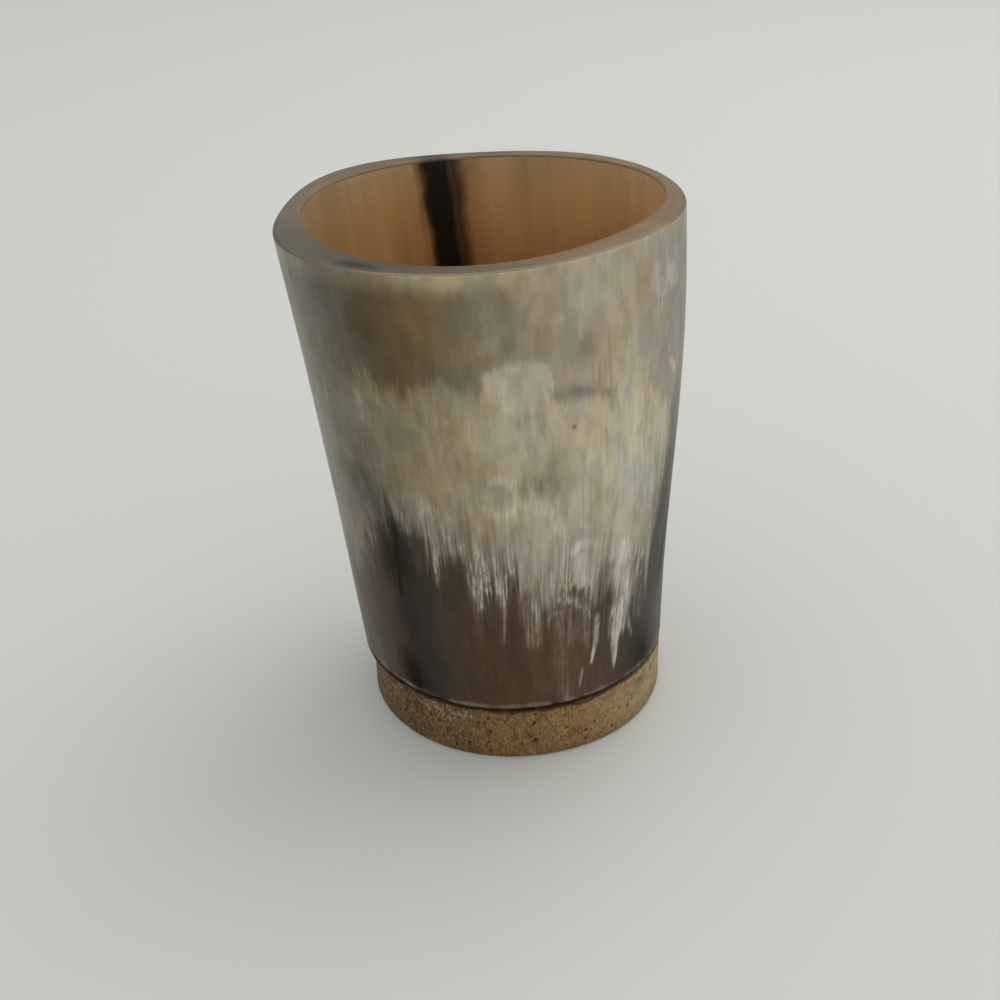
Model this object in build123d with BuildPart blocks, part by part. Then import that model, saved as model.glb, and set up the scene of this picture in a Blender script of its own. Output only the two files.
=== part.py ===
from build123d import *

import os
from math import cos, pi, radians, sin

# Horn drinking cup: a tapered wall of natural horn on a turned wooden base.
# The base is a round disc with a spigot that plugs the horn's lower end. A film of glue fills the seam,
# and a poured coat seals the wood inside the cup. The origin is the centre of the underside, +Z points up.
# Lengths are in millimetres. Angles are in degrees, counted from +X towards +Y.

# Horn wall: mean outer size at its two ends, and the height between them
HORN_HEIGHT = 84.4
HORN_FOOT_DIAMETER = 57.6
HORN_RIM_DIAMETER = 69.0
FOOT_EDGE_BEVEL = 0.9
RIM_OUTER_ROUND = 0.5
RIM_INNER_ROUND = 0.4

# How far the grown horn strays from a straight round cone
FOOT_SHIFT = -0.6
RIM_SHIFT = -4.0
SWAY = 0.55
SWAY_WAVE = -0.25
BELLY = 0.2
WAIST = -0.2
RIM_OVAL = 1.1
RIM_OVAL_ANGLE = 37.0
RIM_LOBE = 0.81
RIM_LOBE_ANGLE = 8.7
RIM_CORNER = 0.57
RIM_CORNER_ANGLE = 45.4
RIM_FACET = 0.36
RIM_FACET_ANGLE = -11.8

# Wall thickness at the rim, which is uneven all round
RIM_WALL = 4.3
RIM_WALL_SKEW = 1.1
RIM_WALL_SKEW_ANGLE = -125.0
RIM_WALL_LOBE = 0.69
RIM_WALL_LOBE_ANGLE = -20.9

# Socket reamed into the horn's foot: the wall left round it, and the ledge between socket and bore
SOCKET_WALL = 3.6
SOCKET_LEDGE = 2.2

# Wooden base: how far its side lies inside the horn's foot, and how far its spigot reaches up
BASE_INSET = 0.8
BASE_HEIGHT = 10.4
BASE_FOOT_ROUND = 0.8
BASE_SHOULDER_BEVEL = 0.4
SPIGOT_HEIGHT = 7.4

# Glue in the seam and round the spigot
SEAM_THICKNESS = 0.5
SEAM_SETBACK = 0.8
SPIGOT_GAP = 0.15

# Sealing coat on the cup's floor: its depth at the middle, and its rise to the wall
SEAL_THICKNESS = 0.8
SEAL_DISH = 0.9

# Sections of the loft, and points on each section's closed curve
LOFT_STEPS = 6
OUTLINE_POINTS = 16

# Levels and radii that follow from the sizes above
horn_foot_z = BASE_HEIGHT + SEAM_THICKNESS
horn_foot_radius = HORN_FOOT_DIAMETER / 2
bevel_radius = horn_foot_radius - FOOT_EDGE_BEVEL
base_radius = horn_foot_radius - BASE_INSET
socket_radius = horn_foot_radius - SOCKET_WALL
socket_depth = SPIGOT_HEIGHT - SEAM_THICKNESS
spigot_radius = socket_radius - SPIGOT_GAP
spigot_top_z = BASE_HEIGHT + SPIGOT_HEIGHT
foot_wall = SOCKET_WALL + SOCKET_LEDGE
bore_foot_radius = horn_foot_radius - foot_wall

# The rim's rounds are limited by its thinnest stretch
thinnest_rim = RIM_WALL - RIM_WALL_SKEW - RIM_WALL_LOBE - RIM_CORNER - RIM_FACET
outer_round = min(RIM_OUTER_ROUND, 0.5 * thinnest_rim)
inner_round = min(RIM_INNER_ROUND, 0.4 * thinnest_rim)


def between(low, high, share):
    """The value that lies share of the way from low to high."""
    return low + (high - low) * share


def axis_shift(share):
    """How far the horn's middle lies from the base's axis, along X, at a share of the horn's height."""
    sway = SWAY * sin(pi * share) + SWAY_WAVE * sin(2 * pi * share)
    return between(FOOT_SHIFT, RIM_SHIFT, share) + sway


def rim_corners(angle):
    """How far the rim's outer side bulges in the direction of angle: four soft corners and five flats."""
    corner = RIM_CORNER * cos(4 * (angle - radians(RIM_CORNER_ANGLE)))
    facet = RIM_FACET * cos(5 * (angle - radians(RIM_FACET_ANGLE)))
    return corner + facet


def horn_radius(share, angle):
    """Outer radius of the horn at a share of its height, in the direction of angle."""
    mean = between(HORN_FOOT_DIAMETER, HORN_RIM_DIAMETER, share) / 2
    swell = BELLY * sin(pi * share) + WAIST * sin(2 * pi * share)
    oval = RIM_OVAL * cos(2 * (angle - radians(RIM_OVAL_ANGLE)))
    lobe = RIM_LOBE * cos(3 * (angle - radians(RIM_LOBE_ANGLE)))
    return mean + swell + share * (oval + lobe + rim_corners(angle))


def wall_thickness(share, angle):
    """Thickness of the horn at a share of its height, in the direction of angle. Its corners thicken it."""
    skew = RIM_WALL_SKEW * cos(angle - radians(RIM_WALL_SKEW_ANGLE))
    lobe = RIM_WALL_LOBE * cos(3 * (angle - radians(RIM_WALL_LOBE_ANGLE)))
    return between(foot_wall, RIM_WALL, share) + share * (skew + lobe + rim_corners(angle))


def outline(share, inset):
    """Points round the horn at a share of its height, taken in by inset times the wall thickness."""
    points = []
    for step in range(OUTLINE_POINTS):
        angle = 2 * pi * step / OUTLINE_POINTS
        radius = horn_radius(share, angle) - inset * wall_thickness(share, angle)
        points.append((axis_shift(share) + radius * cos(angle), radius * sin(angle)))
    return points


def horn_sections(inset):
    """The loft's closed sections, from the horn's foot to its rim."""
    sections = []
    for step in range(LOFT_STEPS + 1):
        share = step / LOFT_STEPS
        with BuildSketch(Plane.XY.offset(horn_foot_z + share * HORN_HEIGHT)) as section:
            with BuildLine():
                Spline(*outline(share, inset), periodic=True)
            make_face()
        sections.append(section.sketch)
    return sections


# Turned base: disc with its shoulder, and the spigot that plugs the horn
with BuildPart() as wooden_base:
    Cylinder(base_radius, BASE_HEIGHT, align=(Align.CENTER, Align.CENTER, Align.MIN))
    disc_rims = wooden_base.edges().filter_by(GeomType.CIRCLE).sort_by(Axis.Z)
    fillet(disc_rims[0], BASE_FOOT_ROUND)
    chamfer(disc_rims[-1], BASE_SHOULDER_BEVEL)
    with BuildSketch(Plane.XY.offset(BASE_HEIGHT)):
        Circle(spigot_radius)
    extrude(amount=SPIGOT_HEIGHT)
wooden_base.part.label = "wooden_base"

# Glue: a flat ring in the seam, and a thin sleeve up the spigot
with BuildPart() as glue_seam:
    with BuildSketch(Plane.XY.offset(BASE_HEIGHT)):
        Circle(base_radius - SEAM_SETBACK)
        Circle(spigot_radius, mode=Mode.SUBTRACT)
    extrude(amount=SEAM_THICKNESS)
    with BuildSketch(Plane.XY.offset(horn_foot_z)):
        Circle(socket_radius)
        Circle(spigot_radius, mode=Mode.SUBTRACT)
    extrude(amount=socket_depth)
glue_seam.part.label = "glue_seam"

# Horn: outer form, less its own tapered bore and the round socket reamed for the spigot
with BuildPart() as horn_wall:
    loft(horn_sections(inset=0))
    with Locations((FOOT_SHIFT, 0, horn_foot_z)):
        Cone(
            bevel_radius,
            bevel_radius + HORN_HEIGHT,
            HORN_HEIGHT,
            align=(Align.CENTER, Align.CENTER, Align.MIN),
            mode=Mode.INTERSECT,
        )
    loft(horn_sections(inset=1), mode=Mode.SUBTRACT)
    with BuildSketch(Plane.XY.offset(horn_foot_z)):
        Circle(socket_radius)
    extrude(amount=socket_depth, mode=Mode.SUBTRACT)
    rim_edges = horn_wall.faces().sort_by(Axis.Z)[-1].edges().sort_by(SortBy.LENGTH)
    fillet(rim_edges[0], inner_round)
    rim_edges = horn_wall.faces().sort_by(Axis.Z)[-1].edges().sort_by(SortBy.LENGTH)
    fillet(rim_edges[-1], outer_round)
horn_wall.part.label = "horn_wall"

# Sealing coat: fills the bore above the spigot, and its top dishes up to the wall
dish_radius = (bore_foot_radius**2 + SEAL_DISH**2) / (2 * SEAL_DISH)
with BuildPart() as floor_seal:
    loft(horn_sections(inset=1))
    with BuildSketch(Plane.XY.offset(spigot_top_z)):
        Circle(horn_foot_radius)
    extrude(amount=SEAL_THICKNESS + 2 * SEAL_DISH, mode=Mode.INTERSECT)
    with Locations((0, 0, spigot_top_z + SEAL_THICKNESS + dish_radius)):
        Sphere(dish_radius, mode=Mode.SUBTRACT)
floor_seal.part.label = "floor_seal"

os.makedirs("parts", exist_ok=True)
for piece in (wooden_base, glue_seam, horn_wall, floor_seal):
    export_step(piece.part, f"parts/{piece.part.label}.step")
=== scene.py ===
import bpy
import numpy as np
from mathutils import Matrix, Vector


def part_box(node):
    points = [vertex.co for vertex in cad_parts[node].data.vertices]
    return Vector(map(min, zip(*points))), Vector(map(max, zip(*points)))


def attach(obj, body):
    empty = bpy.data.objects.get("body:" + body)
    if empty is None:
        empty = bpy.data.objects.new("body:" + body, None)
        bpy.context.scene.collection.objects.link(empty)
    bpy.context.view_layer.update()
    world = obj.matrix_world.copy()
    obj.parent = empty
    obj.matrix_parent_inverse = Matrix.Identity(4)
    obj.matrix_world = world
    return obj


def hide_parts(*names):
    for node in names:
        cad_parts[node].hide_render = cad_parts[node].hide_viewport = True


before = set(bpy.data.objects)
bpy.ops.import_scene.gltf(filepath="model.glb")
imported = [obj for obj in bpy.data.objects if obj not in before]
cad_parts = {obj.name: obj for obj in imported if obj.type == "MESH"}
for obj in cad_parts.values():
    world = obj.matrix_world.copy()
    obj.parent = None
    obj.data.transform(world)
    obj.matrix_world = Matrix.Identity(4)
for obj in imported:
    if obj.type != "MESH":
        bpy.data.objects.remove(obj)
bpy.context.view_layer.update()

# Lengths are in millimetres until they reach a mesh, a lamp or the camera.
# Turn is the angle round the cup in degrees: 0 faces the viewer, positive goes to the viewer's right.
MM = 0.001

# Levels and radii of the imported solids
FOOT_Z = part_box("horn_wall")[0].z / MM
RIM_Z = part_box("horn_wall")[1].z / MM
BASE_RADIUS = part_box("wooden_base")[1].x / MM
SPIGOT_TOP_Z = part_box("wooden_base")[1].z / MM
SHOULDER_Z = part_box("glue_seam")[0].z / MM
SEAM_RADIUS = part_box("glue_seam")[1].x / MM
SEAL_TOP_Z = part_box("floor_seal")[1].z / MM
HORN_HEIGHT = RIM_Z - FOOT_Z

# Horn: radius at its two ends, drift of its axis along X, and how it strays from a round cone
FOOT_RADIUS = 28.8
RIM_RADIUS = 34.5
FOOT_SHIFT = -0.6
RIM_SHIFT = -4.0
SWAY = 0.55
SWAY_WAVE = -0.25
BELLY = 0.2
WAIST = -0.2
RIM_OVAL = 1.1
RIM_OVAL_TURN = 127.0
RIM_LOBE = 0.81
RIM_LOBE_TURN = 98.7
RIM_CORNER = 0.57
RIM_CORNER_TURN = 135.4
RIM_FACET = 0.36
RIM_FACET_TURN = 78.2

# Horn wall: thickness at foot and rim, its unevenness round the rim, its worked edges and socket
FOOT_WALL = 5.8
RIM_WALL = 4.3
WALL_SKEW = 1.1
WALL_SKEW_TURN = -35.0
WALL_LOBE = 0.69
WALL_LOBE_TURN = 69.1
FOOT_BEVEL = 0.9
FOOT_BEVEL_RISE = 0.963
RIM_OUTER_ROUND = 0.5
RIM_INNER_ROUND = 0.4
SOCKET_RADIUS = 25.2

# Polishing by hand takes this much off the outer skin, more or less in soft waves
POLISH_DEPTH = 0.072
POLISH_WAVE = 0.04

# Base: its rounded foot, bevelled shoulder and spigot, and how far the lathe tool wandered on its side
BASE_FOOT_ROUND = 0.8
BASE_SHOULDER_BEVEL = 0.4
SPIGOT_RADIUS = 25.05
LATHE_WAVE = 0.05

# The wood's fibres lie flat and end at the front, a little to the viewer's left, where their pores open
GRAIN_TURN = -10.0
PIT_TRIES = 190
PIT_DEPTH = 0.3

# Pale dust under the horn's foot: turn, height, half turn, half height
DUST = (-29.0, 8.5, 13.0, 1.6)

# Glue: how unevenly it was squeezed out round the seam, and how far in and up its soft edge goes
GLUE_SQUEEZE = 0.12
GLUE_EDGE = (0.2, 0.12)

# Poured coat: its depth at the middle, the share of its rise that is a dish, and where its curl starts
COAT_DEPTH = 0.8
COAT_DISH = 0.55
CURL_START = 0.94

# Grid sizes: columns go round the cup, rows go along its profile
HORN_COLUMNS = 640
BASE_COLUMNS = 720
PLAIN_COLUMNS = 240
ROUND_ROWS = 7
LOW_ROWS = 7
RIM_ROWS = 9
WALL_ROWS = 90
BORE_ROWS = 22
SIDE_ROWS = 36
COAT_ROWS = 39

# The horn's pattern is drawn on a straight tube of this radius, so one degree of turn is always as wide
PATTERN_RADIUS = 32.0
PER_DEGREE = PATTERN_RADIUS * np.pi / 180

# Lower edge of the pale film, and where that film grows solid: (turn, height)
FRINGE = (
    (-95, 33), (-75, 34), (-60, 36), (-55, 38), (-50, 41), (-46, 43.5), (-43, 47.5), (-38, 51), (-35, 53),
    (-32, 50), (-29, 48.5), (-25, 50.5), (-23.3, 51.5), (-22.8, 41), (-20.5, 45), (-15.5, 46), (-14.3, 47),
    (-13.3, 43), (-11, 39), (-9.5, 36.5), (-6.5, 38), (-3, 38), (-1.3, 35), (0, 40), (2.5, 41.5), (4.3, 37),
    (8, 35.5), (10.8, 36), (12, 37), (17, 36), (24, 35.5), (28.2, 36), (29.5, 38.5), (34, 38), (37, 38),
    (39, 34), (40.3, 30), (44.5, 31), (48, 36.5), (51, 33.5), (56.5, 31.5), (58, 36), (60, 42), (62, 46),
    (64, 49), (66, 52), (70, 55), (80, 56), (95, 52), (112, 45), (130, 40), (146, 46), (160, 52), (172, 55),
    (-172, 46), (-150, 39), (-130, 45), (-112, 40),
)
SOLID = (
    (-95, 46), (-60, 52), (-50, 60), (-40, 66), (-30, 56), (-22, 49), (-12, 54), (-5, 52), (0, 50), (5, 42),
    (8, 37), (12, 39), (20, 45), (26, 42), (30, 37), (36, 39), (40, 36), (46, 37), (52, 43), (56, 48),
    (60, 54), (66, 60), (70, 64), (80, 66), (95, 62), (130, 50), (160, 60), (-150, 50), (-112, 50),
)
# Lower edge of the smoky cap, and how softly it fades there: (turn, height, softness)
CAP = (
    (-95, 74, 3), (-60, 72.5, 3), (-45, 73.5, 3), (-39, 78, 2.4), (-34, 79, 2), (-31, 75.8, 1.3),
    (-23, 75, 1.2), (-19, 76.6, 1.3), (-12, 76.6, 1.6), (-8, 75.5, 2), (-5, 75.2, 2), (-3.2, 75.5, 1.5),
    (-2.2, 77.5, 1), (-0.5, 79.2, 0.8), (5, 80.4, 0.7), (12, 79.9, 0.7), (15.6, 79.2, 0.6), (16.8, 77, 0.6),
    (17.4, 72.4, 0.6), (27, 71.6, 0.8), (36, 69.8, 0.9), (39, 71, 2.5), (51, 69.5, 3), (55, 67.5, 2),
    (60, 65, 1.5), (67, 64, 1.5), (80, 72, 3), (110, 80, 3), (150, 77, 2), (-165, 82, 2), (-130, 76, 2),
)

# Pale marks: strength, half width at the first and at the last point, and the (turn, height) points
PALE_MARKS = (
    (0.52, 0.7, 1.1, ((-2.5, 59.6), (0.5, 60), (3, 59.2))),
    (0.68, 1.1, 0.8, ((3, 59.2), (4.6, 57), (4.4, 54.6))),
    (0.55, 1.0, 1.0, ((4.2, 54.4), (1, 53.2), (-2.5, 53.2), (-5, 54.6))),
    (0.68, 1.3, 1.1, ((4.5, 54.3), (9, 55), (12, 54), (16.2, 51), (18, 48.6))),
    (0.54, 0.7, 0.8, ((9, 57), (9, 53.2))),
    (0.60, 0.8, 0.7, ((16.3, 54.5), (16.5, 49))),
    (0.50, 0.7, 0.5, ((19.6, 50), (19.4, 47))),
    (0.80, 2.2, 2.0, ((43.4, 40), (42.6, 34), (42.0, 28))),
    (0.84, 2.4, 2.2, ((41.4, 28), (40.4, 24))),
    (0.70, 1.7, 0.4, ((39.5, 24), (38.8, 20.5), (38.3, 16))),
    (0.45, 0.8, 0.4, ((44.3, 27.5), (46.3, 23.5), (47.8, 20.5))),
    (0.76, 0.6, 0.6, ((31.1, 28.6), (30.8, 24.5))),
    (0.60, 0.6, 0.35, ((30.8, 24.5), (29.5, 21), (28.2, 18.8))),
    (0.50, 0.4, 0.4, ((27.2, 31), (28.4, 29))),
    (0.22, 0.7, 0.5, ((27.8, 28), (26.9, 22.5))),
    (0.24, 2.0, 1.8, ((27, 33), (26.4, 25.5))),
    (0.38, 0.4, 0.25, ((24.6, 18), (23.4, 14.6))),
    (0.34, 0.5, 0.4, ((28.3, 37), (28.5, 34))),
    (0.80, 1.0, 1.1, ((22.3, 43.6), (24, 44.7), (27.4, 44.4))),
    (0.66, 0.8, 0.6, ((26.4, 44.8), (27.8, 43.6))),
    (0.72, 1.4, 0.9, ((25.6, 41.5), (25.2, 36.5))),
    (0.62, 0.8, 0.6, ((23.2, 41), (22.8, 37))),
    (0.52, 1.1, 0.8, ((19.5, 34), (22.5, 33.4), (24.5, 31.6))),
    (0.28, 0.7, 0.6, ((12.8, 30.4), (14.5, 31.7), (17, 31.5))),
    (0.40, 0.7, 0.6, ((16.8, 34.3), (18.6, 35.3))),
    (0.44, 0.7, 0.4, ((-9, 49), (-8.7, 34.6))),
    (0.34, 0.5, 0.3, ((-10.9, 39), (-10, 33.5))),
    (0.22, 0.5, 0.4, ((-7.4, 52), (-7.4, 43))),
    (0.28, 0.5, 0.25, ((-1.8, 43), (-1.4, 34), (-2.5, 26.5))),
    (0.18, 0.4, 0.4, ((-4, 56), (-4, 45))),
    (0.30, 1.0, 0.6, ((-22.0, 55), (-21.9, 47), (-22.6, 38.5))),
    (0.20, 0.6, 0.4, ((51.5, 34), (53, 26.5))),
    (0.16, 0.6, 0.4, ((55.5, 36), (56.6, 26))),
    (0.19, 1.6, 1.4, ((16.8, 30), (17.6, 12.5))),
    (0.30, 1.9, 1.8, ((7.6, 34), (7.3, 26.5))),
    (0.17, 2.6, 2.2, ((20.5, 33), (20, 26))),
    (0.24, 2.2, 1.8, ((50, 33), (51.5, 24))),
    # Painted highlight down the left side under the cap, where the grazing wall catches the pale floor
    (0.28, 3.4, 3.4, ((-73, 71), (-73, 64))),
    (0.45, 0.6, 0.5, ((27.5, 89.5), (28, 87))),
    (0.40, 0.7, 0.5, ((26, 85), (26, 82.5))),
    (0.50, 0.9, 0.8, ((58.5, 87), (58, 82))),
    (0.62, 0.8, 0.8, ((65, 71.6), (68, 69.6))),
    (0.24, 0.7, 0.6, ((56.5, 66), (57, 61))),
    (0.24, 1.2, 1.0, ((61.5, 64.5), (62, 60))),
    (0.30, 0.8, 0.6, ((-38, 74), (-38.4, 69.5))),
    (0.24, 0.6, 0.5, ((-52.8, 72), (-53.2, 70))),
    (0.16, 0.9, 0.7, ((-17, 76.5), (-16.5, 63))),
    (0.16, 0.9, 0.7, ((-7.3, 74.5), (-6.8, 64))),
    (0.20, 0.9, 0.6, ((-13.5, 78), (-13, 73))),
    (0.20, 0.4, 0.3, ((-31.5, 76.5), (-31.8, 72.5))),
    (0.20, 0.4, 0.3, ((-22.3, 76.5), (-22.5, 72.5))),
    (0.20, 0.5, 0.4, ((-46.5, 46), (-45.5, 43))),
    (0.20, 1.8, 1.5, ((-63, 44), (-61, 42))),
)

# Milky patches: strength, turn and height of the middle, half turn, half height
MILK_PATCHES = (
    (0.54, 8.0, 73.0, 6.6, 1.5),
    (0.38, 8.0, 76.4, 8.4, 3.4),
    (0.30, 6.6, 78.8, 4.6, 1.7),
    (0.42, 10.0, 73.6, 5.6, 2.6),
    (0.46, -0.9, 77.4, 1.5, 2.0),
    (0.38, 0.8, 75.4, 2.0, 2.2),
    (0.46, 14.6, 77.8, 1.9, 1.9),
    (0.42, 26.2, 76.0, 2.7, 1.7),
    (0.32, 24.2, 76.8, 1.6, 1.6),
    (0.36, 20.5, 86.5, 2.0, 1.2),
    (0.26, 62.5, 89.5, 7.5, 5.5),
    (0.48, 25.6, 39.2, 3.4, 3.6),
    (0.17, -27.0, 52.5, 7.0, 4.6),
    (0.17, -17.5, 49.5, 5.0, 5.0),
    (0.25, -7.8, 19.0, 0.9, 0.35),
)

# Dark marks, written as the pale ones are, and dark and golden patches, written as the milky ones are
DARK_MARKS = (
    (0.42, 1.5, 1.2, ((17.6, 74.0), (22, 73.9), (27, 73.3), (31, 72.6), (36, 71.4))),
    (0.75, 0.50, 0.50, ((22.8, 67.6), (22.9, 67.4))),
    (0.34, 1.4, 1.4, ((5.2, 92), (4.6, 82))),
    (0.40, 0.35, 0.35, ((29.6, 78), (29.6, 73))),
    (0.36, 0.35, 0.35, ((31.6, 78), (31.8, 72.5))),
    (0.36, 0.40, 0.30, ((35.6, 82), (36.2, 68.5))),
    (0.25, 0.50, 0.40, ((-2.8, 77), (-2.4, 70.5))),
    (0.66, 1.9, 0.5, ((-35.2, 49), (-35.4, 44), (-36.6, 37.5), (-37.2, 33.5))),
    (0.34, 3.8, 3.2, ((-36.5, 44), (-36.5, 34), (-35, 24), (-37, 14))),
    (0.38, 2.0, 1.8, ((-42.6, 58), (-41, 50.5))),
    (0.36, 0.35, 0.35, ((28, 58), (28.4, 37))),
    (0.28, 2.0, 1.8, ((30.5, 57), (30.5, 46))),
    (0.36, 0.32, 0.3, ((16.4, 60), (16.3, 53))),
    (0.36, 0.32, 0.3, ((25.2, 58.5), (25.4, 47))),
    (0.34, 0.32, 0.3, ((19.6, 57), (19.7, 46))),
    (0.25, 0.5, 0.4, ((54, 53), (54.3, 49))),
)
DARK_PATCHES = (
    (0.45, 28.5, 81.0, 5.5, 4.5),
    (0.58, 15.0, 57.8, 12.0, 3.6),
    (0.66, 55.0, 14.0, 11.0, 9.0),
    (0.62, 71.0, 32.0, 9.0, 12.0),
    (0.60, -74.0, 85.5, 9.0, 9.0),
    (0.42, 4.5, 83.0, 3.0, 3.0),
    (0.42, -31.0, 86.0, 6.5, 6.5),
    (0.14, -40.0, 83.0, 6.0, 7.0),
    (0.58, -37.5, 42.0, 9.0, 8.5),
    (0.76, -38.3, 15.5, 7.0, 8.5),
    (0.40, -49.0, 56.5, 6.0, 4.0),
    (0.44, -67.0, 51.0, 9.0, 6.0),
)
GOLD_PATCHES = (
    (0.70, -16.5, 88.0, 13.0, 8.0),
    (0.75, 17.0, 62.5, 10.0, 3.6),
    (1.00, 49.5, 87.5, 4.5, 6.0),
    (0.25, -11.0, 66.0, 4.0, 4.0),
)
# Cream glow under the front of the rim, where light comes through the edge: turn and height of the middle,
# half turn, half height
GLOW = (-4.0, 95.2, 18.0, 2.6)
# Dark smudge on the front of the rim: turn, share of the way across the rim, half turn, half share
RIM_SMUDGE = (-33.0, 0.42, 8.0, 0.32)
# How thickly white hairs lie along the fringe: (turn, strength)
FROST = (
    (-62, 0), (-40, 0.1), (-30, 0.35), (-25, 0.3), (-22, 0.6), (-14, 0.4), (-10, 1), (-5, 1), (0, 0.8),
    (4, 0.5), (14, 0.5), (20, 0.9), (28, 0.9), (34, 0.6), (39, 1), (47, 1), (57, 0.8), (64, 0), (95, 0.4),
    (150, 0.8), (-174, 0.3), (-158, 0.2), (-148, 0.7), (-90, 0.3),
)
# They start this far below the fringe, and fade away over a stretch that ends this far above it
FROST_START = 3.0
FROST_END = 14.0
FROST_FADE = 10.0
# Broken surface between the hairs, pitted by scraping, written as the milky patches are
MOTTLE_PATCHES = (
    (0.80, -6.0, 39.5, 5.0, 3.5),
    (0.70, 23.0, 36.5, 3.0, 3.5),
    (0.50, 2.0, 40.0, 2.5, 5.0),
)

# The fibres lean to the left going down the right-hand side: (turn, degrees for each millimetre), and the
# height below which they do
FIBRE_LEAN = ((-180, 0), (8, 0), (40, 0.26), (70, 0.26), (120, 0), (180, 0))
LEAN_START = 45.0

# Scraped bevel round the foot: (turn, height of the light line along its upper edge, strength), half that
# line's width, and the stretch that the painted shade below it fades over. The light line is partly pale
# scraped horn and partly a painted highlight.
FOOT_SCRAPE_HIGHLIGHT = (
    (-180, 12.6, 1), (-95, 13.4, 1), (-64, 13.7, 1.2), (-54, 13.4, 1.6), (-45, 13.3, 1.5), (-40, 12.8, 0.7),
    (-28, 12.6, 0.6), (-24, 12.4, 1.3), (-12, 12.4, 1.2), (-9, 12.2, 0.7), (2, 12.4, 1), (5, 12.5, 1.3),
    (10, 12.3, 0.9), (60, 12.1, 0.9), (180, 12.6, 1),
)
FOOT_SCRAPE_HIGHLIGHT_HALF = 0.55
FOOT_SHADE_FADE = 0.5

# Black streak that runs through the wall at the back, with a red-brown fringe beside it: turn and half width
BLACK_STREAK = (-164.6, 2.9)
RED_STREAK = (-171.0, 1.8)

# Camera: fitted to the photograph's 1000 x 1000 frame
CAMERA_PLACE = (-2.136, -229.038, 165.476)
CAMERA_TILT = 61.0
CAMERA_ROLL = -2.317
LENS = 50.4
SENSOR = 36.0

# Studio: half width of the floor, and the soft lamp's place, aim, width and watts
FLOOR_REACH = 6000
LAMP_PLACE = (450, 350, 900)
LAMP_AIM = (0, 0, 50)
LAMP_WIDTH = 800
LAMP_WATTS = 3.0


def linear(code):
    """An sRGB hex colour as linear light, with full opacity."""
    share = np.array([int(code[place:place + 2], 16) for place in (0, 2, 4)]) / 255
    light = np.where(share <= 0.04045, share / 12.92, ((share + 0.055) / 1.055) ** 2.4)
    return (*light.tolist(), 1.0)


def add(tree, kind, inputs=(), out=0, stops=(), **settings):
    """Adds one node with its settings, colour stops and inputs, each a value or a link; gives one output."""
    node = tree.nodes.new(kind)
    for name, value in settings.items():
        setattr(node, name, value)
    for key, value in dict(inputs).items():
        if isinstance(value, bpy.types.NodeSocket):
            tree.links.new(value, node.inputs[key])
        else:
            node.inputs[key].default_value = value
    for place, colour in stops[1:-1]:
        node.color_ramp.elements.new(place).color = linear(colour)
    for end, (place, colour) in zip((0, -1), stops[:1] + stops[-1:]):
        node.color_ramp.elements[end].position = place
        node.color_ramp.elements[end].color = linear(colour)
    return node.outputs[out] if node.outputs else node


def new_finish(name):
    """An empty material, and its tree."""
    finish = bpy.data.materials.new(name)
    finish.use_nodes = True
    finish.node_tree.nodes.clear()
    return finish, finish.node_tree


def ring_faces(rows, columns, closed):
    """Quads between neighbouring rows of a grid whose columns go round the cup. Closed joins the ends."""
    row = np.arange(rows if closed else rows - 1)[:, None]
    column = np.arange(columns)[None, :]
    above = (row + 1) % rows
    beside = (column + 1) % columns
    corners = np.broadcast_arrays(
        row * columns + column, row * columns + beside, above * columns + beside, above * columns + column)
    return np.stack(corners, axis=-1).reshape(-1, 4)


def pole_faces(ring_start, columns, pole, on_top):
    """Triangles that close a ring of columns with one pole point, facing up on top and down below."""
    here = ring_start + np.arange(columns)
    beside = ring_start + (np.arange(columns) + 1) % columns
    tip = np.full(columns, pole)
    return np.stack((here, beside, tip) if on_top else (tip, beside, here), axis=-1)


def make_piece(name, node, points, faces, finishes, fields=(), finish_of_face=None):
    """Puts whole arrays into one smooth mesh at the origin, with its point fields, in place of a CAD node."""
    mesh = bpy.data.meshes.new(name)
    mesh.from_pydata((points * MM).tolist(), [], faces)
    for finish in finishes:
        mesh.materials.append(finish)
    mesh.polygons.foreach_set("use_smooth", np.ones(len(faces), dtype=bool))
    if finish_of_face is not None:
        mesh.polygons.foreach_set("material_index", finish_of_face.astype(np.int32))
    for field, values in dict(fields).items():
        kind, key = ("FLOAT_VECTOR", "vector") if values.ndim == 2 else ("FLOAT", "value")
        spread = mesh.attributes.new(field, kind, "POINT")
        spread.data.foreach_set(key, values.astype(np.float32).ravel())
    mesh.update()
    piece = bpy.data.objects.new(name, mesh)
    bpy.context.scene.collection.objects.link(piece)
    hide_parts(node)
    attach(piece, "root")


def rings(radius, turn, height, shift=0.0):
    """Points on level rings, a row for each height, round an axis that is shifted along X."""
    angle = np.radians(turn)
    across = shift + radius * np.sin(angle)
    return np.stack(np.broadcast_arrays(across, -radius * np.cos(angle), height), axis=-1)


def between(low, high, share):
    """The value that lies share of the way from low to high."""
    return low + (high - low) * share


def apart(turn, other):
    """Shortest angle in degrees from other to turn."""
    return (turn - other + 180) % 360 - 180


def axis_shift(share):
    """Straight drift of the horn's axis from foot to rim, plus one half wave and one full wave."""
    sway = SWAY * np.sin(np.pi * share) + SWAY_WAVE * np.sin(2 * np.pi * share)
    return between(FOOT_SHIFT, RIM_SHIFT, share) + sway


def rim_corners(turn):
    """Sum of a four-fold wave and a five-fold wave round the rim: soft corners with flats between them."""
    corner = RIM_CORNER * np.cos(4 * np.radians(turn - RIM_CORNER_TURN))
    return corner + RIM_FACET * np.cos(5 * np.radians(turn - RIM_FACET_TURN))


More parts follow.
